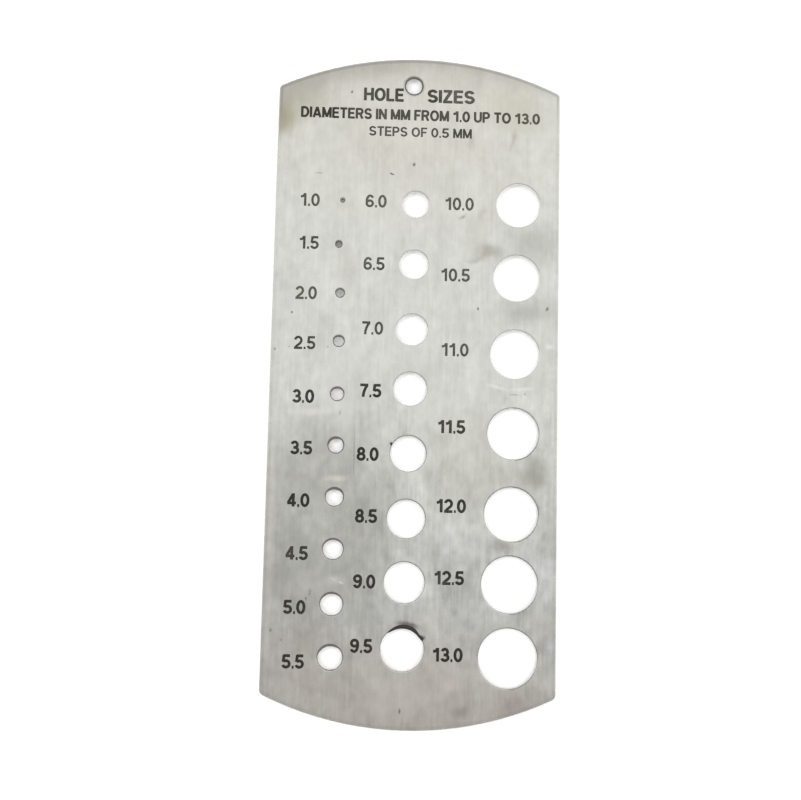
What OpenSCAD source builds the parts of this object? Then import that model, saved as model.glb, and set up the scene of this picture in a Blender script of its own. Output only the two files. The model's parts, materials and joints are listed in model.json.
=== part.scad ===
// Drill size gauge: one flat stainless sheet with straight sides and curved ends.
// Three columns of round holes run from small to large, and a hang hole sits in the top end.
// Sizes are in mm. The sheet lies flat with its underside on z = 0 and its numbered face up.
// +Y points to the hang hole, +X to the right as the numbers are read.

/* [Sheet] */
// Width across the straight sides
sheet_w = 65; // [62:1:80]
// Length over the tops of the curved ends
sheet_l = 152; // [148:1:180]
// Thickness of the sheet
sheet_t = 1.5; // [1.2:0.1:2.5]
// Radius of the curved ends
end_r = 75; // [65:1:120]
// Radius of the four corners
corner_r = 1.5; // [1:0.25:4]
// Radius that polishing leaves on the outer edges
edge_r = 0.4; // [0.1:0.05:0.5]

/* [Gauge holes] */
// Diameter of the smallest hole
first_d = 1; // [0.8:0.1:1.2]
// Rise in diameter from each hole to the next
step_d = 0.5; // [0.4:0.05:0.52]
// Radius that deburring leaves on both rims of every hole
rim_r = 0.3; // [0.05:0.05:0.4]
// Distance from the top end down to the first row of holes
first_row = 34; // [30:0.5:36]
// Distance from the left side to the left column
left_in = 15.25; // [12:0.25:18]
// Distance from the centre line to the first hole of the middle column, to its left
middle_off = 0.5; // [-2:0.25:2]
// Distance from the right side to the first hole of the right column
right_in = 9.5; // [9:0.25:12]
// Drift of the middle column to the left, over its whole length
middle_drift = 1; // [0:0.25:2]
// Drift of the right column to the left, over its whole length
right_drift = 1.25; // [0:0.25:2]
// Slip of the second hole to the left, out of line with its column
second_slip = 0.6; // [0:0.1:1]

/* [Hang hole] */
// Diameter of the hang hole
hang_d = 4.2; // [3:0.1:5]
// Distance from the top end down to the hang hole
hang_in = 6.5; // [5:0.5:9]
// Distance from the centre line to the hang hole, to its left
hang_off = 1.5; // [-3:0.5:3]

/* [Hidden] */
$fn = 96;
// Overshoot of every cutter past the faces it opens
over = 1;
// Excess on the corner discs, so that they cross the sides and ends instead of only touching them
blend = 0.002;
// Heights of the holes below the first row, marked out by hand and so not quite evenly spaced
left_rows = [0, 10.25, 21.5, 32.5, 44.5, 56, 67.5, 79, 91, 102.5];
middle_rows = [0.5, 14.5, 29.5, 43, 57.5, 72, 86, 100.5];
right_rows = [0, 17, 34.5, 52.5, 70.5, 86, 102];
// Length of sheet that these rows were marked out on, and how far another length spreads them
marked_l = 152;
spread = sheet_l / marked_l;
// Place in the run of sizes at which each column starts
middle_from = len(left_rows);
right_from = middle_from + len(middle_rows);
// Top end and right side of the sheet, which the hole distances start from
top_y = sheet_l / 2;
side_x = sheet_w / 2;
// Centre of the top end arc, and the corner arc that meets it and the side without a kink
end_y = top_y - end_r;
corner_x = side_x - corner_r;
corner_y = end_y + sqrt(pow(end_r - corner_r, 2) - pow(corner_x, 2));
corner_a = atan2(corner_y - end_y, corner_x);

// Half of the sheet's cross-section, from its middle out to a rounded edge
module section(reach) {
    square([reach - edge_r, sheet_t]);
    translate([0, edge_r])
        square([reach, sheet_t - 2 * edge_r]);
    for (z = [edge_r, sheet_t - edge_r])
        translate([reach - edge_r, z])
            circle(edge_r);
}

// Round disc of the sheet, with the same rounded edge
module disc(r) {
    rotate_extrude()
        section(r);
}

// What comes off one tip, between the side and the curved end, outside the corner radius
module tip() {
    reach = 3 * corner_r;
    difference() {
        translate([0, 0, -over])
            linear_extrude(sheet_t + 2 * over)
                polygon([
                    [0, 0],
                    [reach, 0],
                    [reach, reach],
                    [reach * cos(corner_a), reach * sin(corner_a)]
                ]);
        disc(corner_r + blend);
    }
}

// Upper half of the blank: straight sides, one curved end and two rounded corners
module half() {
    difference() {
        intersection() {
            rotate([90, 0, 0])
                linear_extrude(2 * top_y, center = true)
                    for (side = [0, 1])
                        mirror([side, 0])
                            section(side_x);
            translate([0, end_y, 0])
                disc(end_r);
            translate([-sheet_w, -over, -over])
                cube([2 * sheet_w, sheet_l, sheet_t + 2 * over]);
        }
        for (side = [0, 1])
            mirror([side, 0, 0])
                translate([corner_x, corner_y, 0])
                    tip();
    }
}

// The blank: both halves alike, each reaching a little past the middle
module blank() {
    for (turn = [0, 180])
        rotate(turn)
            half();
}

// Flare that rounds the upper rim of a hole, as half of its cross-section
module flare(d) {
    difference() {
        square([d / 2 + rim_r, rim_r + over]);
        translate([d / 2 + rim_r, 0])
            circle(rim_r);
    }
}

// Cutter for one hole: a straight bore with both rims rounded over
module hole(d) {
    rotate_extrude() {
        translate([0, -over])
            square([d / 2, sheet_t + 2 * over]);
        translate([0, sheet_t - rim_r])
            flare(d);
        translate([0, rim_r])
            mirror([0, 1])
                flare(d);
    }
}

// Cutters for one column of holes, from the size at place "from" in the run
module column(rows, x, drift, from) {
    last = rows[len(rows) - 1];
    for (i = [0 : len(rows) - 1]) {
        slip = from + i == 1 ? second_slip : 0;
        translate([x - drift * rows[i] / last - slip, top_y - spread * (first_row + rows[i]), 0])
            hole(first_d + step_d * (from + i));
    }
}

// The finished gauge, stamped and polished in one piece
module gauge_plate() {
    color("#c9cac4")
        difference() {
            blank();
            column(left_rows, left_in - side_x, 0, 0);
            column(middle_rows, -middle_off, middle_drift, middle_from);
            column(right_rows, side_x - right_in, right_drift, right_from);
            translate([-hang_off, top_y - hang_in, 0])
                hole(hang_d);
        }
}

gauge_plate();
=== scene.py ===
"""Looks of a drill size gauge: one brushed stainless sheet, printed numbers, marks of use."""
import json
from math import cos, radians, sin

import bmesh
import bpy
from mathutils import Matrix, Vector

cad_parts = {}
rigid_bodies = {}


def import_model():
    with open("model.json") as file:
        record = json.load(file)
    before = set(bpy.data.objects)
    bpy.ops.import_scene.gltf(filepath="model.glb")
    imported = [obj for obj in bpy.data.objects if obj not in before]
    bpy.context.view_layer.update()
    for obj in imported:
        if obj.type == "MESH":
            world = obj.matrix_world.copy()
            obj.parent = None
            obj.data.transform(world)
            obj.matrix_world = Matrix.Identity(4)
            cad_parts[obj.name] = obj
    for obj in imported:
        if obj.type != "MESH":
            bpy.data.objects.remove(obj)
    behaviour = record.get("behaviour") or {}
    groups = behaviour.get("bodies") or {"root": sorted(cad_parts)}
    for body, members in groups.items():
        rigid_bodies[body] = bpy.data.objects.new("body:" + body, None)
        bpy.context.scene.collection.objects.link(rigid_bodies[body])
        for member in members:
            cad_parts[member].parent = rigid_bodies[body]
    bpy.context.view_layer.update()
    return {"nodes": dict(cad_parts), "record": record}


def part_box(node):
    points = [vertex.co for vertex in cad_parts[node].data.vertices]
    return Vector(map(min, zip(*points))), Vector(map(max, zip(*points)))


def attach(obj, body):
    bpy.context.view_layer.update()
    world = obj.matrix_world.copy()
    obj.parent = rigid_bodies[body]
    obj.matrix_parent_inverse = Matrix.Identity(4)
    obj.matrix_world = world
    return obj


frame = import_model()

MM = 0.001
plate = frame["nodes"]["gauge_plate"]
HALF_W, HALF_L, FACE = (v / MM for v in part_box("gauge_plate")[1])  # numbered face at height FACE, in mm
END_R = 75.0  # radius of the curved ends, in mm
holes = {m["name"]: m for m in frame["record"]["mounts"]}


def linear(code):
    """sRGB hex colour as the linear RGBA that shaders take."""
    parts = [int(code[i:i + 2], 16) / 255 for i in (1, 3, 5)]
    return tuple(c / 12.92 if c < 0.0405 else ((c + 0.055) / 1.055) ** 2.4 for c in parts) + (1.0,)


def add(tree, kind, inputs=(), **settings):
    """One node of a tree, with its settings, and its inputs as values or as sockets to link from."""
    node = tree.nodes.new(kind)
    for name, value in settings.items():
        setattr(node, name, value)
    for key, value in dict(inputs).items():
        if isinstance(value, bpy.types.NodeSocket):
            tree.links.new(value, node.inputs[key])
        else:
            node.inputs[key].default_value = value
    return node


def new_material(name):
    """Material with nodes, its tree and its shader."""
    material = bpy.data.materials.new(name)
    material.use_nodes = True
    return material, material.node_tree, material.node_tree.nodes["Principled BSDF"]


def place_in_mm(tree):
    """Place on the object, in mm, that a material's patterns are laid out on."""
    spot = add(tree, "ShaderNodeTexCoord").outputs["Object"]
    return add(tree, "ShaderNodeVectorMath", {0: spot, "Scale": 1 / MM}, operation="SCALE").outputs[0]


# Stainless sheet

# Marks on the numbered face, in mm: x, y, half width, half length, turn in degrees,
# how much of it is full strength, strength, colour. With more than 1 for the sixth, a mark starts
# at the ellipse and grows outwards. Cycles takes about 70 marks: with more, the sheet turns black.
TARNISH = (
    (0, 60, 50, 34, 0, 0.2, 0.22, "#b7b19a"),              # yellow tint over the top third
    (-28, 63.5, 11, 6.5, 25, 0.1, 0.50, "#98947e"),        # olive smear in the top left corner
    (-32, 61, 5.5, 7, 0, 0.1, 0.66, "#878267"),            # its darker side
    (7, -10, 79.0, 79.0, 0, 1.11, 0.66, "#8d887e"),        # brown tarnish along the top end
    (8.5, 70.5, 9, 4.5, 0, 0.0, 0.32, "#a3a197"),          # grey haze right of the hang hole
    (22, 65, 14, 9, -20, 0.0, 0.40, "#a8a691"),            # yellow tarnish in the top right corner
    (-16, 26, 4, 8, 0, 0.0, 0.25, "#a9a397"),              # brown haze by the second and third holes
    (26, 33, 9, 7, 0, 0.0, 0.50, "#94948c"),               # darker grey patch above the 10.5 hole
    (13, 36, 5, 7, 0, 0.0, 0.35, "#a5a398"),               # grey haze beside the 10.0 hole
    (25, 17, 10, 5, 0, 0.0, 0.55, "#909088"),              # darker grey patch below the 10.5 hole
    (24, -20.5, 11, 6.5, 0, 0.0, 0.48, "#94938b"),         # grey haze between 11.5 and 12.0
    (12, -16, 14, 20, 0, 0.2, 0.24, "#a9a798"),            # yellow tint left of 11.5 and 12.0
    (-21, -32, 21, 31, 0, 0.5, 0.42, "#8c8b84"),           # darker ground at the lower left
    (-20, -45.5, 17, 5, 0, 0.0, 0.22, "#cfccc5"),          # paler band across it by the 5.0 hole
    (4.5, -60, 6.5, 15, 0, 0.0, 0.30, "#d2cec7"),          # paler ground right of the 9.5 hole
    (28.5, -53, 5, 6, 0, 0.0, 0.40, "#d2cfc8"),            # paler ground between 12.5 and 13.0
    (0, -75, 48, 26, 0, 0.2, 0.40, "#b7a99d"),             # pink heat tint over the bottom end
    (-25, -62, 14, 14, 0, 0.1, 0.28, "#ad9d95"),           # stronger at the left
    (-2, -68, 12, 8, 0, 0.2, 0.38, "#cdc8c2"),             # paler ground at the bottom end
    (25, -71, 11, 7, 10, 0.0, 0.55, "#9c9087"),            # pink heat tint at the bottom right
)
SMEARS = (
    (16.3, 30.9, 4.4, 3.6, 10, 0.0, 0.54, "#7d7864"),      # thumb mark between 10.0 and 10.5
    (13.3, 29.4, 2.8, 1.2, 5, 0.0, 0.32, "#85816f"),       # its tail
    (9.8, 39.0, 1.6, 0.9, 10, 0.0, 0.60, "#7f7a6c"),       # smear under the 10.0
    (15.0, 39.5, 1.6, 2.2, 0, 0.0, 0.30, "#948d7d"),       # its paler end
    (21.3, 57.5, 0.9, 4.0, 0, 0.0, 0.40, "#85826f"),       # streak under the heading
    (12.1, 56.6, 1.2, 2.0, 0, 0.0, 0.30, "#8d8a77"),       # second streak
    (27.8, -19.2, 5.0, 4.6, 15, 0.0, 0.46, "#717065"),     # dark smear between 11.5 and 12.0
    (19.8, -35.7, 3.0, 2.2, 0, 0.0, 0.48, "#7c7a6e"),      # dark smear between 12.0 and 12.5
    (11.9, -71.5, 3.4, 1.9, 0, 0.0, 0.30, "#7d7169"),      # dark smear at the bottom end
)
RUBS = (
    (-31.2, -36.0, 1.7, 34.0, 0, 0.0, 0.40, "#cccac5"),    # pale band along the lower left side
    (-23.0, -6.6, 7.0, 1.3, 2, 0.1, 0.36, "#d8d5d1"),      # pale rub below 3.0
    (-17.0, -21.4, 3.6, 1.1, 0, 0.1, 0.45, "#d6d0c9"),     # pale rub above 4.0
    (-22.5, -19.0, 2.2, 3.2, 0, 0.0, 0.30, "#cdcac5"),     # its faint side
    (-16.6, -43.6, 3.4, 1.6, 0, 0.0, 0.35, "#cfccc6"),     # pale rub above 5.0
    (-17.0, -43.5, 1.2, 0.45, -25, 0.1, 0.30, "#dfdcd7"),  # its two scratches
    (-15.3, -44.3, 0.9, 0.50, -20, 0.1, 0.55, "#dfdcd7"),
    (18.4, 0.0, 3.6, 0.65, -14, 0.0, 0.34, "#e2e1de"),     # curved rub below 11.0
    (24.0, -0.4, 4.2, 0.65, 5, 0.0, 0.32, "#e2e1de"),      # its other end
    (30.4, 9.4, 1.8, 1.0, 0, 0.0, 0.40, "#e0dfdc"),        # rub at the right side
    (9.2, -66.0, 5.0, 3.0, 40, 0.0, 0.55, "#cdc4be"),      # pale streaks at the bottom end
)
SPECKS = (
    (-15.8, 67.6, 0.35, 0.50, 0, 0.2, 0.8, "#4a473d"),
    (-1.1, 50.8, 0.45, 0.75, 0, 0.2, 0.8, "#4a473d"),
    (-6.1, 48.5, 0.80, 0.28, -20, 0.2, 0.9, "#332f28"),
    (-22.8, 48.2, 1.20, 0.22, 0, 0.2, 0.4, "#6b675c"),
    (14.1, 17.7, 0.35, 0.50, 20, 0.2, 0.9, "#332f28"),
    (29.8, 18.1, 0.40, 0.70, -30, 0.2, 0.8, "#4a473d"),
    (-27.9, 15.8, 0.35, 0.45, 0, 0.2, 0.7, "#4a473d"),
    (-31.5, 7.3, 0.30, 0.40, 0, 0.2, 0.6, "#4a473d"),
    (-28.3, 8.0, 0.30, 0.50, 0, 0.0, 0.35, "#5f5c53"),
    (-19.7, 8.1, 0.40, 0.40, 0, 0.0, 0.35, "#5f5c53"),
    (-16.5, -6.7, 0.35, 0.90, -20, 0.0, 0.45, "#5f5c53"),
    (28.1, -27.8, 0.60, 3.20, 0, 0.1, 0.40, "#5a5952"),    # painted shade along the right rim of the 12.0 hole
    (-4.9, -13.4, 0.55, 0.55, 0, 0.3, 1.0, "#201d19"),
    (-30.4, -54.9, 0.45, 0.70, 0, 0.0, 0.55, "#4f463d"),
    (-28.0, -57.0, 0.40, 0.45, 0, 0.0, 0.45, "#4f463d"),
    (-22.0, -46.5, 0.45, 1.60, 0, 0.0, 0.45, "#5f5c55"),
    (-22.8, -47.9, 0.35, 0.40, 0, 0.2, 0.60, "#4f4a42"),
    (-1.8, -71.7, 0.35, 0.80, 0, 0.2, 0.7, "#4a443b"),
    (-13.1, -15.8, 0.16, 7.5, 0, 0.2, 0.5, "#55534b"),
    (22.6, -1.7, 2.0, 0.25, 0, 0.2, 0.4, "#6b675c"),
    (24.9, -1.5, 0.30, 0.55, 0, 0.2, 0.45, "#5a564c"),
    (-0.3, -53.2, 3.6, 1.1, -10, 0.2, 0.75, "#4a4543"),    # edge of the crust on the 9.5 hole
    (3.1, -55.9, 1.0, 0.8, -35, 0.1, 0.60, "#4a4543"),     # its end
    (-1.5, 69.5, 2.75, 2.75, 0, 0.78, 0.4, "#62625f"),     # dark ring round the hang hole
)


def stained(tree, colour, where, marks):
    """Colour with marks laid over it, each an ellipse on the numbered face that fades to its edge."""
    for x, y, half_w, half_l, turn, core, strength, code in marks:
        place = add(tree, "ShaderNodeMapping", {
            "Vector": where, "Location": (x, y, FACE),
            "Rotation": (0, 0, radians(turn)), "Scale": (half_w, half_l, FACE / 2),
        }, vector_type="TEXTURE")
        reach = add(tree, "ShaderNodeVectorMath", {0: place.outputs[0]}, operation="LENGTH")
        fade = add(tree, "ShaderNodeMapRange", {
            "Value": reach.outputs["Value"], "From Min": 1.0, "From Max": core,
            "To Min": 0.0, "To Max": strength,
        }, interpolation_type="SMOOTHSTEP")
        mix = add(tree, "ShaderNodeMix", {0: fade.outputs[0], 6: colour, 7: linear(code)},
                  data_type="RGBA")
        colour = mix.outputs[2]
    return colour


def wandering(tree, where, colour, reach):
    """Place moved by up to half the reach in x and in y, as the colour of a noise says."""
    lean = add(tree, "ShaderNodeVectorMath", {
        0: colour, 1: (reach, reach, 0), 2: (-reach / 2, -reach / 2, 0),
    }, operation="MULTIPLY_ADD")
    return add(tree, "ShaderNodeVectorMath", {0: where, 1: lean.outputs[0]}, operation="ADD").outputs[0]


def stainless_sheet():
    """Cold-rolled stainless sheet, brushed along its length. The grain stretches reflections across
    the sheet, and the sheet's slight waviness breaks them into long pale and dark streaks."""
    material, tree, shader = new_material("brushed_stainless_sheet")
    shader.inputs["Metallic"].default_value = 1.0
    shader.inputs["Anisotropic"].default_value = 0.5
    across = add(tree, "ShaderNodeCombineXYZ", {"X": 1.0})
    tree.links.new(across.outputs[0], shader.inputs["Tangent"])
    in_mm = place_in_mm(tree)
    place = add(tree, "ShaderNodeSeparateXYZ", {0: in_mm}).outputs

    # Brush lines 0.6 mm wide and 9 mm long: real ones are finer, but would not show
    line_at = add(tree, "ShaderNodeMapping", {"Vector": in_mm, "Scale": (1 / 0.6, 1 / 9, 1 / 0.6)})
    lines = add(tree, "ShaderNodeTexNoise", {
        "Vector": line_at.outputs[0], "Scale": 1.0, "Detail": 1.0, "Roughness": 0.6,
    }).outputs["Fac"]
    # Rolling leaves shallow waves about 7 mm wide and 14 mm long
    wave_at = add(tree, "ShaderNodeMapping", {"Vector": in_mm, "Scale": (1 / 7, 1 / 14, 1 / 7)})
    waves = add(tree, "ShaderNodeTexNoise", {
        "Vector": wave_at.outputs[0], "Scale": 1.0, "Detail": 2.0, "Roughness": 0.6,
    }).outputs["Fac"]
    # Handling leaves a mottle of spots from 8 mm down to 0.5 mm
    mottle_at = add(tree, "ShaderNodeMapping", {"Vector": in_mm, "Scale": (1 / 8, 1 / 12, 1 / 8)})
    mottle = add(tree, "ShaderNodeTexNoise", {
        "Vector": mottle_at.outputs[0], "Scale": 1.0, "Detail": 3.5, "Roughness": 0.9,
    }).outputs["Fac"]

    # Stains wander off their ellipses by a few mm, specks by a few tenths
    cloud = add(tree, "ShaderNodeTexNoise", {"Vector": in_mm, "Scale": 1 / 5, "Detail": 4.0}).outputs
    wander = wandering(tree, in_mm, cloud["Color"], 5.0)
    grit = add(tree, "ShaderNodeTexNoise", {"Vector": in_mm, "Scale": 1 / 0.6, "Detail": 2.0}).outputs
    fray = wandering(tree, in_mm, grit["Color"], 0.6)

    # Ground colour: pale and neutral, or darker and yellower, in spots and along the brush lines.
    # Handling has made the lower half more uneven. The two patterns together have a mean of 0.65
    bare = add(tree, "ShaderNodeMath", {0: lines, 1: 0.3, 2: mottle}, operation="MULTIPLY_ADD").outputs[0]
    handled = add(tree, "ShaderNodeMapRange", {
        "Value": place["Y"], "From Min": 10.0, "From Max": -30.0, "To Min": 1.4, "To Max": 2.4,
    }, interpolation_type="SMOOTHSTEP").outputs[0]
    middle = add(tree, "ShaderNodeMath", {0: bare, 1: 0.65}, operation="SUBTRACT").outputs[0]
    pale = add(tree, "ShaderNodeMath", {
        0: middle, 1: handled, 2: 0.5,
    }, operation="MULTIPLY_ADD", use_clamp=True).outputs[0]
    ground = add(tree, "ShaderNodeMix", {
        0: pale, 6: linear("#ababa6"), 7: linear("#cdcdc9"),
    }, data_type="RGBA").outputs[2]
    colour = stained(tree, ground, wander, TARNISH + SMEARS)
    colour = stained(tree, colour, fray, RUBS + SPECKS)

    # Distance in from the outline, which has straight sides and ends that are arcs
    out_x = add(tree, "ShaderNodeMath", {0: place["X"]}, operation="ABSOLUTE").outputs[0]
    out_y = add(tree, "ShaderNodeMath", {0: place["Y"]}, operation="ABSOLUTE").outputs[0]
    past = add(tree, "ShaderNodeMath", {0: out_y, 1: HALF_L - END_R}, operation="SUBTRACT").outputs[0]
    spoke = add(tree, "ShaderNodeCombineXYZ", {"X": out_x, "Y": past}).outputs[0]
    length = add(tree, "ShaderNodeVectorMath", {0: spoke}, operation="LENGTH").outputs["Value"]
    from_end = add(tree, "ShaderNodeMath", {0: END_R, 1: length}, operation="SUBTRACT").outputs[0]
    from_side = add(tree, "ShaderNodeMath", {0: HALF_W, 1: out_x}, operation="SUBTRACT").outputs[0]
    inset = add(tree, "ShaderNodeMath", {0: from_end, 1: from_side}, operation="MINIMUM").outputs[0]
    inner = add(tree, "ShaderNodeMapRange", {
        "Value": inset, "From Min": 0.45, "From Max": 0.75,
    }, interpolation_type="SMOOTHSTEP").outputs[0]

    # Rims get a painted shade in the lower half, and a painted highlight in the upper one and along the
    # outline
    normal = add(tree, "ShaderNodeNewGeometry").outputs["Normal"]
    facing = add(tree, "ShaderNodeSeparateXYZ", {0: normal}).outputs
    flatness = add(tree, "ShaderNodeMath", {0: facing["Z"]}, operation="ABSOLUTE").outputs[0]
    rim = add(tree, "ShaderNodeMapRange", {
        "Value": flatness, "From Min": 0.985, "From Max": 0.75,
    }, interpolation_type="SMOOTHSTEP").outputs[0]
    low = add(tree, "ShaderNodeMapRange", {
        "Value": place["Y"], "From Min": 10.0, "From Max": -14.0,
    }, interpolation_type="SMOOTHSTEP").outputs[0]
    dull = add(tree, "ShaderNodeMath", {0: low, 1: inner}, operation="MULTIPLY").outputs[0]
    # Pale colour: painted highlight on the rims; dark colour: painted shade on them
    rim_highlight_and_shade = add(tree, "ShaderNodeMix", {
        0: dull, 6: linear("#e2e1dd"), 7: linear("#8f8e8a"),
    }, data_type="RGBA").outputs[2]
    rimmed = add(tree, "ShaderNodeMix", {0: rim, 6: colour, 7: rim_highlight_and_shade}, data_type="RGBA").outputs[2]
    # The cut walls get a paler colour than the face: painted light, which lifts their shade
    wall = add(tree, "ShaderNodeMapRange", {
        "Value": flatness, "From Min": 0.7, "From Max": 0.2,
    }, interpolation_type="SMOOTHSTEP").outputs[0]
    walls_painted_light = add(tree, "ShaderNodeMix", {
        0: wall, 6: rimmed, 7: linear("#dcdbd7"),
    }, data_type="RGBA").outputs[2]
    # A painted shade runs as a dark line just inside the outline, strongest along the top end
    line_out = add(tree, "ShaderNodeMapRange", {
        "Value": inset, "From Min": 0.3, "From Max": 0.6,
    }, interpolation_type="SMOOTHSTEP").outputs[0]
    line_in = add(tree, "ShaderNodeMapRange", {
        "Value": inset, "From Min": 1.15, "From Max": 0.65,
    }, interpolation_type="SMOOTHSTEP").outputs[0]
    at_top = add(tree, "ShaderNodeMapRange", {
        "Value": place["Y"], "From Min": 60.0, "From Max": 67.0, "To Max": 0.30,
    }, interpolation_type="SMOOTHSTEP").outputs[0]
    elsewhere = add(tree, "ShaderNodeMapRange", {
        "Value": place["Y"], "From Min": 10.0, "From Max": -20.0, "To Min": 0.08, "To Max": 0.12,
    }, interpolation_type="SMOOTHSTEP").outputs[0]
    amount = add(tree, "ShaderNodeMath", {0: at_top, 1: elsewhere}, operation="ADD").outputs[0]
    band = add(tree, "ShaderNodeMath", {0: line_out, 1: line_in}, operation="MULTIPLY").outputs[0]
    edge_shade = add(tree, "ShaderNodeMath", {0: band, 1: amount}, operation="MULTIPLY").outputs[0]
    edge_shaded = add(tree, "ShaderNodeMix", {
        0: edge_shade, 6: walls_painted_light, 7: linear("#616160"),
    }, data_type="RGBA").outputs[2]
    # Surfaces under the upper rims, which face -Y, are darker in the lower half, most in the left column
    under = add(tree, "ShaderNodeMapRange", {
        "Value": facing["Y"], "From Min": -0.05, "From Max": -0.45,
    }, interpolation_type="SMOOTHSTEP").outputs[0]
    much = add(tree, "ShaderNodeMapRange", {
        "Value": place["X"], "From Min": -13.0, "From Max": -6.0, "To Min": 0.25, "To Max": 0.05,
    }, interpolation_type="SMOOTHSTEP").outputs[0]
    under_rims_low = add(tree, "ShaderNodeMath", {0: under, 1: dull}, operation="MULTIPLY").outputs[0]
    # Darkens the surfaces under the upper rims that face -Y
    oil = add(tree, "ShaderNodeMath", {0: under_rims_low, 1: much}, operation="MULTIPLY").outputs[0]
    darkened_under_rims = add(tree, "ShaderNodeMix", {
        0: oil, 6: edge_shaded, 7: linear("#3a372f"),
    }, data_type="RGBA").outputs[2]
    tree.links.new(darkened_under_rims, shader.inputs["Base Color"])

    gloss = add(tree, "ShaderNodeMapRange", {
        "Value": cloud["Fac"], "From Min": 0.3, "From Max": 0.7, "To Min": 0.24, "To Max": 0.30,
    }).outputs[0]
    tree.links.new(gloss, shader.inputs["Roughness"])

    roll = add(tree, "ShaderNodeBump", {"Height": waves, "Strength": 1.0, "Distance": 0.3 * MM})
    brush = add(tree, "ShaderNodeBump", {
        "Height": lines, "Normal": roll.outputs[0], "Strength": 1.0, "Distance": 0.03 * MM,
    })
    tree.links.new(brush.outputs[0], shader.inputs["Normal"])
    return material


plate.material_slots[0].material = stainless_sheet()


# Printed numbers

PENS = (0.215, 0.182)  # width of full and of worn strokes, over the height of a digit
FULL, WORN = 0, 1      # places in that list
FILM = 0.008           # thickness of the ink, over the height of a digit
GAP = 0.09             # between two characters
WORD_GAP = 0.30        # between two words


def arc(x, y, rx, ry, start, end, steps=16):
    """Points along an ellipse, angles in degrees."""
    turns = [radians(start + (end - start) * i / steps) for i in range(steps + 1)]
    return [(x + rx * cos(a), y + ry * sin(a)) for a in turns]


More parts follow.
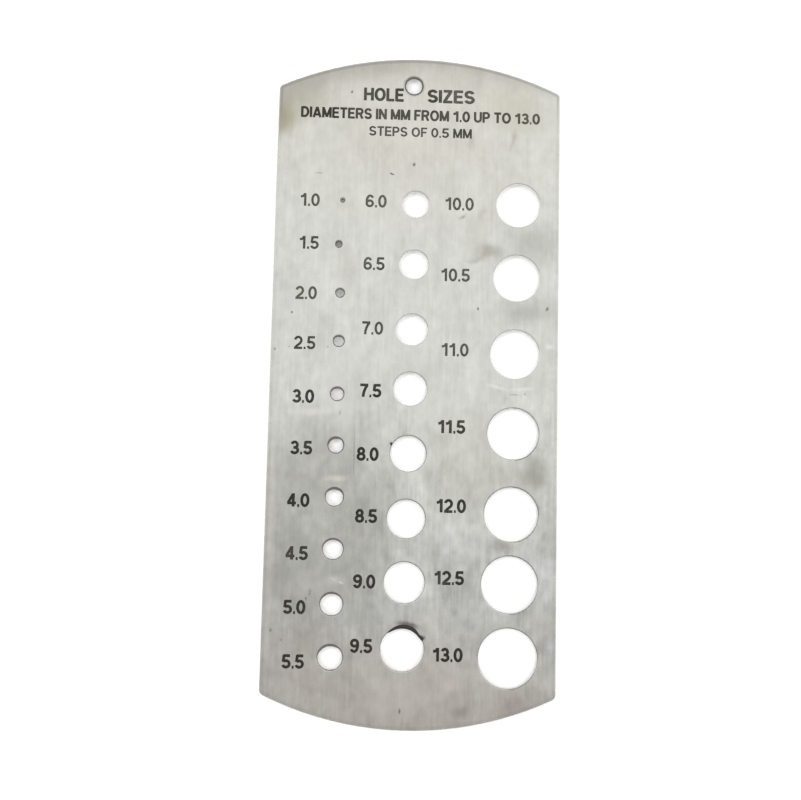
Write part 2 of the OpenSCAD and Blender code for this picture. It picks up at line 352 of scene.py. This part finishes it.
# Middle lines of the pen's strokes for a character 1 high, with the character's width.
# A stroke that ends where it starts is a ring.
STEM = [(0.0825, 0), (0.0825, 1)]
STROKES = {
    "0": (0.64, [arc(0.32, 0.5, 0.2375, 0.4175, 0, 360, 32)]),
    "1": (0.49, [[(0.3575, 0), (0.3575, 1)],
                 [(0.01, 0.735), (0.14, 0.75), (0.25, 0.81), (0.33, 0.95)]]),
    "2": (0.64, [arc(0.32, 0.665, 0.2375, 0.2525, 170, -28)
                 + [(0.46, 0.44), (0.33, 0.33), (0.2, 0.22), (0.1, 0.09)],
                 [(0.0, 0.0775), (0.63, 0.0775)]]),
    "3": (0.64, [arc(0.31, 0.70, 0.205, 0.2175, 165, -90), arc(0.315, 0.2925, 0.2425, 0.21, 90, -165),
                 [(0.22, 0.495), (0.33, 0.495)]]),
    "4": (0.66, [[(0.45, 0), (0.45, 1)], [(0, 0.27), (0.66, 0.27)], [(0.44, 0.95), (0.07, 0.29)]]),
    "5": (0.64, [[(0.13, 0.9175), (0.6, 0.9175)], [(0.155, 0.98), (0.105, 0.46)],
                 arc(0.31, 0.3175, 0.245, 0.235, 142, -162, 22)]),
    "6": (0.64, [arc(0.325, 0.305, 0.2325, 0.2225, 0, 360, 28),
                 [(0.092, 0.33), (0.092, 0.5), (0.115, 0.67), (0.18, 0.82), (0.27, 0.9), (0.36, 0.9175),
                  (0.46, 0.885), (0.53, 0.81), (0.552, 0.745)]]),
    "7": (0.62, [[(0.0, 0.9175), (0.62, 0.9175)],
                 [(0.55, 0.9), (0.43, 0.72), (0.33, 0.5), (0.265, 0.27), (0.245, 0.0)]]),
    "8": (0.64, [arc(0.32, 0.715, 0.195, 0.2025, 0, 360, 28),
                 arc(0.32, 0.295, 0.2375, 0.2125, 0, 360, 28)]),
    "9": (0.64, [arc(0.315, 0.695, 0.2325, 0.2225, 0, 360, 28),
                 [(0.548, 0.67), (0.548, 0.5), (0.525, 0.33), (0.46, 0.18), (0.37, 0.1), (0.28, 0.0825),
                  (0.18, 0.115), (0.11, 0.19), (0.088, 0.255)]]),
    ".": (0.16, [[(0.005, 0.085), (0.155, 0.085)]]),
    "A": (0.74, [[(0.07, 0), (0.37, 0.985)], [(0.67, 0), (0.37, 0.985)], [(0.17, 0.27), (0.57, 0.27)]]),
    "D": (0.68, [STEM, [(0.08, 0.9175)] + arc(0.3, 0.5, 0.2975, 0.4175, 90, -90) + [(0.08, 0.0825)]]),
    "E": (0.59, [STEM, [(0.08, 0.9175), (0.58, 0.9175)], [(0.08, 0.51), (0.54, 0.51)],
                 [(0.08, 0.0825), (0.59, 0.0825)]]),
    "F": (0.55, [STEM, [(0.08, 0.9175), (0.55, 0.9175)], [(0.08, 0.49), (0.49, 0.49)]]),
    "H": (0.67, [STEM, [(0.5875, 0), (0.5875, 1)], [(0.08, 0.51), (0.59, 0.51)]]),
    "I": (0.165, [STEM]),
    "L": (0.55, [STEM, [(0.08, 0.0825), (0.55, 0.0825)]]),
    "M": (0.80, [STEM, [(0.7175, 0), (0.7175, 1)], [(0.09, 0.97), (0.4, 0.06)],
                 [(0.71, 0.97), (0.4, 0.06)]]),
    "N": (0.67, [STEM, [(0.5875, 0), (0.5875, 1)], [(0.09, 0.95), (0.58, 0.05)]]),
    "O": (0.76, [arc(0.38, 0.5, 0.2975, 0.4175, 0, 360, 32)]),
    "P": (0.63, [STEM, [(0.08, 0.9175)] + arc(0.34, 0.6875, 0.2075, 0.23, 90, -90) + [(0.08, 0.4575)]]),
    "R": (0.67, [STEM, [(0.08, 0.9175)] + arc(0.36, 0.6975, 0.2075, 0.22, 90, -90) + [(0.08, 0.4775)],
                 [(0.38, 0.47), (0.585, 0.0)]]),
    "S": (0.64, [arc(0.32, 0.705, 0.225, 0.2125, 15, 270, 18)
                 + arc(0.32, 0.2875, 0.2375, 0.205, 90, -168, 18)]),
    "T": (0.62, [[(0.31, 0), (0.31, 0.95)], [(0, 0.9175), (0.62, 0.9175)]]),
    "U": (0.67, [[(0.0825, 1)] + arc(0.335, 0.35, 0.2525, 0.2675, 180, 360) + [(0.5875, 1)]]),
    "Z": (0.61, [[(0.03, 0.9175), (0.59, 0.9175)], [(0.0, 0.0825), (0.61, 0.0825)],
                 [(0.5, 0.9), (0.09, 0.1)]]),
}


def socket(tree, side, name, kind):
    """Gives a tree a named input or output."""
    tree.interface.new_socket(name, in_out=side, socket_type=kind)


def grown(base, tree, **values):
    """Plain mesh that a tree makes of an object. The object is used up."""
    modifier = base.modifiers.new(tree.name, "NODES")
    modifier.node_group = tree
    for item in tree.interface.items_tree:
        if item.in_out == "INPUT" and item.name in values:
            modifier[item.identifier] = values[item.name]
    graph = bpy.context.evaluated_depsgraph_get()
    mesh = bpy.data.meshes.new_from_object(base.evaluated_get(graph))
    bpy.data.objects.remove(base)
    return mesh


def placed(name, data, where=None):
    """Object for a mesh, lamp or camera, in the scene or in a collection."""
    made = bpy.data.objects.new(name, data)
    (where or bpy.context.scene.collection).objects.link(made)
    return made


def pen_tree():
    """Draws strokes with a flat pen: a bar of ink along every line, joined where lines cross."""
    tree = bpy.data.node_groups.new("pen_strokes", "GeometryNodeTree")
    socket(tree, "INPUT", "Lines", "NodeSocketGeometry")
    socket(tree, "INPUT", "Pen", "NodeSocketFloat")
    socket(tree, "INPUT", "Film", "NodeSocketFloat")
    socket(tree, "OUTPUT", "Ink", "NodeSocketGeometry")
    given = add(tree, "NodeGroupInput").outputs
    lines = add(tree, "GeometryNodeMeshToCurve", {"Mesh": given["Lines"]})
    flat = add(tree, "GeometryNodeSetCurveNormal", {"Curve": lines.outputs[0]}, mode="Z_UP")
    nib = add(tree, "GeometryNodeCurvePrimitiveQuadrilateral", {
        "Width": given["Pen"], "Height": given["Film"],
    })
    bars = add(tree, "GeometryNodeCurveToMesh", {
        "Curve": flat.outputs[0], "Profile Curve": nib.outputs[0], "Fill Caps": True,
    })
    joined = add(tree, "GeometryNodeMeshBoolean", {
        "Mesh 2": bars.outputs[0], "Self Intersection": True,
    }, operation="UNION", solver="EXACT")
    add(tree, "NodeGroupOutput", {"Ink": joined.outputs[0]})
    return tree


def print_tree(ink):
    """Sets a character on every point, by the point's own number and size."""
    tree = bpy.data.node_groups.new("set_characters", "GeometryNodeTree")
    socket(tree, "INPUT", "Points", "NodeSocketGeometry")
    socket(tree, "INPUT", "Characters", "NodeSocketCollection")
    socket(tree, "OUTPUT", "Print", "NodeSocketGeometry")
    given = add(tree, "NodeGroupInput").outputs
    stock = add(tree, "GeometryNodeCollectionInfo", {
        "Collection": given["Characters"], "Separate Children": True, "Reset Children": True,
    })
    which = add(tree, "GeometryNodeInputNamedAttribute", {"Name": "character"}, data_type="INT")
    size = add(tree, "GeometryNodeInputNamedAttribute", {"Name": "size"}, data_type="FLOAT_VECTOR")
    on_points = add(tree, "GeometryNodeInstanceOnPoints", {
        "Points": given["Points"], "Instance": stock.outputs[0], "Pick Instance": True,
        "Instance Index": which.outputs[0], "Scale": size.outputs[0],
    })
    real = add(tree, "GeometryNodeRealizeInstances", {"Geometry": on_points.outputs[0]})
    inked = add(tree, "GeometryNodeSetMaterial", {"Geometry": real.outputs[0], "Material": ink})
    add(tree, "NodeGroupOutput", {"Print": inked.outputs[0]})
    return tree


def characters():
    """Collection of every character with every pen, 1 m high, in the order of their names."""
    stock = bpy.data.collections.new("characters")
    bpy.context.scene.collection.children.link(stock)
    pen = pen_tree()
    for i, (_, strokes) in enumerate(STROKES.values()):
        shape = bmesh.new()
        for stroke in strokes:
            ring = (Vector(stroke[0]) - Vector(stroke[-1])).length < 1e-6
            points = [shape.verts.new((x, y, 0)) for x, y in (stroke[:-1] if ring else stroke)]
            for a, b in zip(points, points[1:] + points[:1] if ring else points[1:]):
                shape.edges.new((a, b))
        mesh = bpy.data.meshes.new("strokes")
        shape.to_mesh(mesh)
        shape.free()
        for j, pen_width in enumerate(PENS):
            inked = grown(placed("strokes", mesh), pen, Pen=pen_width, Film=FILM)
            placed(f"character_{j}_{i:02d}", inked, stock)
    return stock


def width(text):
    """Width of a line of print, over its height."""
    return sum(WORD_GAP if c == " " else STROKES[c][0] + GAP for c in text) - GAP


def printed(name, lines, stock, tree):
    """Piece of print from lines of (text, middle x, bottom y, height, stretch, pen), in mm."""
    order = list(STROKES)
    points, which, sizes = [], [], []
    for text, x, y, height, stretch, pen in lines:
        x -= width(text) * height * stretch / 2
        for c in text:
            if c != " ":
                points.append((x * MM, y * MM, FACE * MM))
                which.append(pen * len(order) + order.index(c))
                sizes += [height * stretch * MM, height * MM, height * MM]
            x += (WORD_GAP if c == " " else STROKES[c][0] + GAP) * height * stretch
    mesh = bpy.data.meshes.new(name)
    mesh.from_pydata(points, [], [])
    mesh.attributes.new("character", "INT", "POINT").data.foreach_set("value", which)
    mesh.attributes.new("size", "FLOAT_VECTOR", "POINT").data.foreach_set("vector", sizes)
    made = placed(name, grown(placed("points", mesh), tree, Characters=stock))
    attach(made, "root")


def marking_ink():
    """Screen-printed black ink: a thin dull film, worn to grey where hands have rubbed it."""
    material, tree, shader = new_material("screen_printed_ink")
    shader.inputs["Specular IOR Level"].default_value = 0.35
    in_mm = place_in_mm(tree)
    place = add(tree, "ShaderNodeSeparateXYZ", {0: in_mm}).outputs
    # Pinholes in the film, 0.3 mm apart
    grain = add(tree, "ShaderNodeTexNoise", {
        "Vector": in_mm, "Scale": 1 / 0.3, "Detail": 2.0,
    }).outputs["Fac"]
    # Wear comes and goes over about 12 mm, and there is more of it towards the top
    rubbed = add(tree, "ShaderNodeTexNoise", {
        "Vector": in_mm, "Scale": 1 / 12, "Detail": 1.0,
    }).outputs["Fac"]
    upper = add(tree, "ShaderNodeMapRange", {
        "Value": place["Y"], "From Min": -20.0, "From Max": 45.0, "To Min": -0.15, "To Max": 0.25,
    }).outputs[0]
    # Hands have rubbed the upper end of the middle and right columns most
    above = add(tree, "ShaderNodeMapRange", {
        "Value": place["Y"], "From Min": -18.0, "From Max": 4.0, "To Min": 0.0, "To Max": 0.10,
    }).outputs[0]
    beside = add(tree, "ShaderNodeMapRange", {
        "Value": place["X"], "From Min": -20.0, "From Max": -14.0,
    }).outputs[0]
    # The heading above them is less worn
    spared = add(tree, "ShaderNodeMapRange", {
        "Value": place["Y"], "From Min": 50.0, "From Max": 60.0, "To Min": 0.0, "To Max": -0.22,
    }).outputs[0]
    high = add(tree, "ShaderNodeMath", {0: upper, 1: spared}, operation="ADD").outputs[0]
    usual = add(tree, "ShaderNodeMath", {0: rubbed, 1: high}, operation="ADD").outputs[0]
    worn = add(tree, "ShaderNodeMath", {0: above, 1: beside, 2: usual}, operation="MULTIPLY_ADD").outputs[0]
    thin = add(tree, "ShaderNodeMath", {0: worn, 1: grain}, operation="MULTIPLY").outputs[0]
    fade = add(tree, "ShaderNodeMapRange", {"Value": thin, "From Min": 0.18, "From Max": 0.55}).outputs[0]
    colour = add(tree, "ShaderNodeMix", {
        0: fade, 6: linear("#191810"), 7: linear("#59584e"),
    }, data_type="RGBA").outputs[2]
    tree.links.new(colour, shader.inputs["Base Color"])
    dull = add(tree, "ShaderNodeMapRange", {"Value": grain, "To Min": 0.45, "To Max": 0.65}).outputs[0]
    tree.links.new(dull, shader.inputs["Roughness"])
    skin = add(tree, "ShaderNodeBump", {"Height": grain, "Strength": 0.4, "Distance": 0.01 * MM})
    tree.links.new(skin.outputs[0], shader.inputs["Normal"])
    return material


# Middle of every number, in mm
NUMBERS = (
    ("1.0", -24.64, 41.88), ("1.5", -24.56, 31.92), ("2.0", -24.88, 20.34), ("2.5", -24.86, 8.93),
    ("3.0", -24.81, -3.18), ("3.5", -24.89, -14.72), ("4.0", -25.19, -26.37), ("4.5", -25.16, -38.01),
    ("5.0", -25.33, -49.77), ("5.5", -25.27, -61.51),
    ("6.0", -9.62, 42.01), ("6.5", -9.72, 27.47), ("7.0", -9.69, 12.65), ("7.5", -9.78, -1.55),
    ("8.0", -10.09, -15.80), ("8.5", -10.07, -29.55), ("9.0", -10.14, -43.91), ("9.5", -10.44, -57.89),
    ("10.0", 9.46, 41.92), ("10.5", 8.83, 25.37), ("11.0", 9.02, 8.21), ("11.5", 8.53, -9.24),
    ("12.0", 8.74, -26.91), ("12.5", 8.58, -42.75), ("13.0", 8.55, -59.46),
)
DIGIT_H = 2.95   # height of a digit, in mm
WORN_FROM = 5.0  # numbers further up the sheet than this are worn
# Text, middle x, bottom y and height in mm, stretch in width, pen
HEADING = (
    ("HOLE", -8.4, 65.7, 3.05, 1.05, FULL),
    ("SIZES", 7.1, 65.7, 3.05, 1.18, FULL),
    ("DIAMETERS IN MM FROM 1.0 UP TO 13.0", 0.2, 61.3, 2.5, 1.04, FULL),
    ("STEPS OF 0.5 MM", 0.2, 57.4, 2.25, 1.12, WORN),
)

stock = characters()
tree = print_tree(marking_ink())
sizes = [(t, x, y - DIGIT_H / 2, DIGIT_H, 1.0, WORN if y > WORN_FROM else FULL) for t, x, y in NUMBERS]
printed("size_numbers", sizes, stock, tree)
printed("heading_lines", HEADING, stock, tree)
for made in list(stock.objects):
    bpy.data.objects.remove(made)
bpy.data.collections.remove(stock)


# Dried oil on the rim of the 9.5 hole and dirt in the small bores

def dried_oil(name, dark, pale):
    """Old cutting oil with steel dust in it, dried to a crumbly crust with a dull skin: the more dust,
    the paler and greyer."""
    material, tree, shader = new_material(name)
    # Crumbs 0.35 mm across
    crumbs = add(tree, "ShaderNodeTexNoise", {
        "Vector": place_in_mm(tree), "Scale": 1 / 0.35, "Detail": 3.0,
    }).outputs["Fac"]
    colour = add(tree, "ShaderNodeMix", {
        0: crumbs, 6: linear(dark), 7: linear(pale),
    }, data_type="RGBA").outputs[2]
    tree.links.new(colour, shader.inputs["Base Color"])
    dull = add(tree, "ShaderNodeMapRange", {"Value": crumbs, "To Min": 0.4, "To Max": 0.75}).outputs[0]
    tree.links.new(dull, shader.inputs["Roughness"])
    skin = add(tree, "ShaderNodeBump", {"Height": crumbs, "Strength": 0.6, "Distance": 0.05 * MM})
    tree.links.new(skin.outputs[0], shader.inputs["Normal"])
    return material


def swell(a, start, full, fade, end):
    """Rises smoothly from 0 at start to 1 at full, and falls from 1 at fade to 0 at end."""
    part = (a - start) / (full - start) if a < full else (end - a) / (end - fade)
    part = max(0.0, min(1.0, part))
    return part * part * (3 - 2 * part)


def hole_at(name):
    """Middle of a hole and its radius, in mm."""
    x, y, _ = (v / MM for v in holes[name]["pos_m"])
    return x, y, holes[name]["dims"]["r_mm"]


def row_of(shape, x, y, a, section):
    """Vertices of a section of (radius, height), at an angle in degrees round the middle of a hole."""
    turn = radians(a)
    return [
        shape.verts.new(((x + r * cos(turn)) * MM, (y + r * sin(turn)) * MM, z * MM))
        for r, z in section
    ]


def skin_over(shape, rows):
    """Adds the faces from each row of vertices to the next."""
    for one, two in zip(rows, rows[1:]):
        for j in range(len(one)):
            k = (j + 1) % len(one)
            shape.faces.new((one[j], one[k], two[k], two[j]))


CRUST_STEPS = 42  # facets along the crust
RING_STEPS = 48   # facets round a bore
# Dirt in the bores: hole, thickness all round and added thickness at its thickest, in mm, and
# the direction of that place in degrees
BORE_DIRT = (
    ("hang_hole", 0.22, 0.06, 110),
    ("gauge_hole_1_5", 0.08, 0.06, 95),
    ("gauge_hole_2_0", 0.08, 0.10, 95),
    ("gauge_hole_2_5", 0.09, 0.14, 95),
    ("gauge_hole_3_0", 0.08, 0.14, 95),
    ("gauge_hole_3_5", 0.07, 0.26, 118),
    ("gauge_hole_4_0", 0.03, 0.30, 90),
    ("gauge_hole_4_5", 0.03, 0.17, 96),
    ("gauge_hole_5_0", 0.03, 0.22, 98),
    ("gauge_hole_5_5", 0.03, 0.32, 105),
)


def crust():
    """A crescent of crust over the upper rim: it hangs into the bore, thins out over the face and
    tapers into the metal at both ends. Angles are in degrees from +X, lengths in mm."""
    x, y, bore = hole_at("gauge_hole_9_5")
    start, end = 16, 142
    seat = Vector((bore + 0.12, FACE - 0.09))  # a point in the metal, under the rim
    shape = bmesh.new()
    rows = []
    for i in range(CRUST_STEPS + 1):
        a = start + (end - start) * i / CRUST_STEPS
        inner = bore - 0.28 * swell(a, start, 40, 116, end)
        # The body of the crust, and a blob at its right end
        outer = bore + 0.10 + 0.55 * swell(a, 30, 66, 84, end) + 0.5 * swell(a, start, 27, 29, 44)
        thick = 0.03 + 0.10 * swell(a, start, 66, 84, end)
        hang = 0.05 + 0.45 * swell(a, start, 50, 112, end)
        taper = max(0.04, swell(a, start, 28, 124, end))
        section = (
            (inner, FACE - hang), (inner + 0.03, FACE - 0.24 * hang), (bore + 0.02, FACE + thick),
            (0.5 * (bore + outer), FACE + thick * 0.8), (outer, FACE + 0.004), (outer, FACE - 0.004),
            tuple(seat), (bore + 0.03, FACE - 0.25 - 0.3 * hang),
        )
        rows.append(row_of(shape, x, y, a, [seat.lerp(Vector(point), taper) for point in section]))
    skin_over(shape, rows)
    shape.faces.new(rows[0])
    shape.faces.new(rows[-1][::-1])
    return shape


def bore_dirt():
    """Rings of dirt that line the small bores just under their upper rims."""
    shape = bmesh.new()
    for name, thin, more, at in BORE_DIRT:
        x, y, bore = hole_at(name)
        rows = []
        for i in range(RING_STEPS):
            a = 360 * i / RING_STEPS
            off = abs((a - at + 180) % 360 - 180)
            inner = bore - thin - more * swell(off, -90, 0, 20, 80)
            rows.append(row_of(shape, x, y, a, (
                (bore + 0.12, FACE - 0.06), (inner, FACE - 0.22), (inner + 0.01, FACE - 0.42),
                (bore + 0.02, FACE - 0.62), (bore + 0.08, FACE - 0.30),
            )))
        skin_over(shape, rows + rows[:1])
    return shape


for name, shape, finish in (
    ("rim_crust", crust(), dried_oil("dried_cutting_oil", "#0e0c0c", "#2c2627")),
    ("bore_dirt", bore_dirt(), dried_oil("dusty_dried_oil", "#403d36", "#6a665e")),
):
    bmesh.ops.recalc_face_normals(shape, faces=shape.faces)
    for face in shape.faces:
        face.smooth = True
    mesh = bpy.data.meshes.new(name)
    shape.to_mesh(mesh)
    shape.free()
    mesh.materials.append(finish)
    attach(placed(name, mesh), "root")


# Floor, light and camera

def white_table():
    """Smooth white laminate."""
    material, _, shader = new_material("white_laminate")
    shader.inputs["Base Color"].default_value = linear("#f6f6f5")
    shader.inputs["Roughness"].default_value = 0.7
    shader.inputs["Specular IOR Level"].default_value = 0.2
    mesh = bpy.data.meshes.new("table")
    half = 6.0        # half its side, in m
    low = -0.02 * MM  # just under the sheet, so that the two faces don't share a plane
    mesh.from_pydata([(-half, -half, low), (half, -half, low), (half, half, low), (-half, half, low)],
                     [], [(0, 1, 2, 3)])
    mesh.materials.append(material)
    placed("table", mesh)


def soft_room():
    """A pale room: a broad bright ceiling towards +Y and +X, a dimmer side towards -X and -Y."""
    world = bpy.data.worlds.new("soft_room")
    bpy.context.scene.world = world
    world.use_nodes = True
    tree = world.node_tree
    back = tree.nodes["Background"]
    away = add(tree, "ShaderNodeTexCoord").outputs["Generated"]
    parts = add(tree, "ShaderNodeSeparateXYZ", {0: away}).outputs
    # Where a direction meets the ceiling, for a ceiling 1 unit up
    rise = add(tree, "ShaderNodeMath", {0: parts["Z"], 1: 0.05}, operation="MAXIMUM").outputs[0]
    reach = add(tree, "ShaderNodeMath", {0: 1.0, 1: rise}, operation="DIVIDE").outputs[0]
    ceiling = add(tree, "ShaderNodeVectorMath", {0: away, "Scale": reach}, operation="SCALE").outputs[0]
    over = add(tree, "ShaderNodeSeparateXYZ", {0: ceiling}).outputs
    far = add(tree, "ShaderNodeMapRange", {
        "Value": over["Y"], "From Min": -0.17, "From Max": 0.13, "To Min": 0.76, "To Max": 1.38,
    }, interpolation_type="SMOOTHSTEP").outputs[0]
    right = add(tree, "ShaderNodeMapRange", {
        "Value": over["X"], "From Min": -0.2, "From Max": 0.3, "To Min": 0.97, "To Max": 1.0,
    }).outputs[0]
    # A dim patch overhead, a little to the left
    dim_at = add(tree, "ShaderNodeMapping", {
        "Vector": ceiling, "Location": (-0.08, -0.02, 1.0), "Scale": (0.09, 0.10, 1.0),
    }, vector_type="TEXTURE").outputs[0]
    off = add(tree, "ShaderNodeVectorMath", {0: dim_at}, operation="LENGTH").outputs["Value"]
    dim = add(tree, "ShaderNodeMapRange", {
        "Value": off, "From Min": 1.2, "From Max": 0.2, "To Min": 1.0, "To Max": 0.75,
    }, interpolation_type="SMOOTHSTEP").outputs[0]
    lit = add(tree, "ShaderNodeMath", {0: far, 1: right}, operation="MULTIPLY").outputs[0]
    bright = add(tree, "ShaderNodeMath", {0: lit, 1: dim}, operation="MULTIPLY").outputs[0]
    # Walls: bright on the right, dim elsewhere
    wall = add(tree, "ShaderNodeMapRange", {
        "Value": parts["X"], "From Min": -0.1, "From Max": 0.7, "To Min": 0.45, "To Max": 1.0,
    }, interpolation_type="SMOOTHSTEP").outputs[0]
    height = add(tree, "ShaderNodeMapRange", {
        "Value": parts["Z"], "From Min": 0.25, "From Max": 0.8,
    }, interpolation_type="SMOOTHSTEP").outputs[0]
    ring = add(tree, "ShaderNodeMix", {0: height, 2: wall, 3: 1.0}).outputs[0]
    level = add(tree, "ShaderNodeMath", {0: bright, 1: ring}, operation="MULTIPLY").outputs[0]
    # The camera itself sees a plain pale backdrop
    seen = add(tree, "ShaderNodeLightPath").outputs["Is Camera Ray"]
    shown = add(tree, "ShaderNodeMix", {0: seen, 2: level, 3: 0.95}).outputs[0]
    tree.links.new(shown, back.inputs["Strength"])
    back.inputs["Color"].default_value = linear("#ffffff")


def side_lamps():
    """Four lamps around the table light it from the sides. The metal mirrors only the room."""
    out, up = 1.2, 1.0  # from the middle and above the table, in m
    for name, x, y, energy in (
        ("right", 1, 0, 3.5), ("far", 0, 1, 2.5), ("left", -1, 0, 7.5), ("near", 0, -1, 8.0),
    ):
        data = bpy.data.lights.new(f"{name}_lamp", "AREA")
        data.shape = "SQUARE"
        data.size = 0.5
        data.energy = energy
        lamp = placed(f"{name}_lamp", data)
        at = Vector((x * out, y * out, up))
        lamp.matrix_world = Matrix.Translation(at) @ at.to_track_quat("Z", "Y").to_matrix().to_4x4()
        lamp.visible_glossy = False


def photo_camera():
    """Camera above the sheet, a little to the lower left, fitted to the outline and the holes."""
    at = Vector((-11.38, -34.19, 270.87 + FACE)) * MM
    look = Vector((0.0306, 0.1125, -0.9932)).normalized()
    right = look.cross(Vector((-0.0259, 0.9934, 0.1117))).normalized()
    turn = Matrix((right, right.cross(look), -look)).transposed().to_4x4()
    data = bpy.data.cameras.new("photo_camera")
    data.sensor_width = 36.0
    data.lens = 54.70
    data.clip_start = 0.01
    camera = placed("photo_camera", data)
    camera.matrix_world = Matrix.Translation(at) @ turn
    bpy.context.scene.camera = camera


white_table()
soft_room()
side_lamps()
photo_camera()
bpy.context.scene.view_settings.view_transform = "Standard"
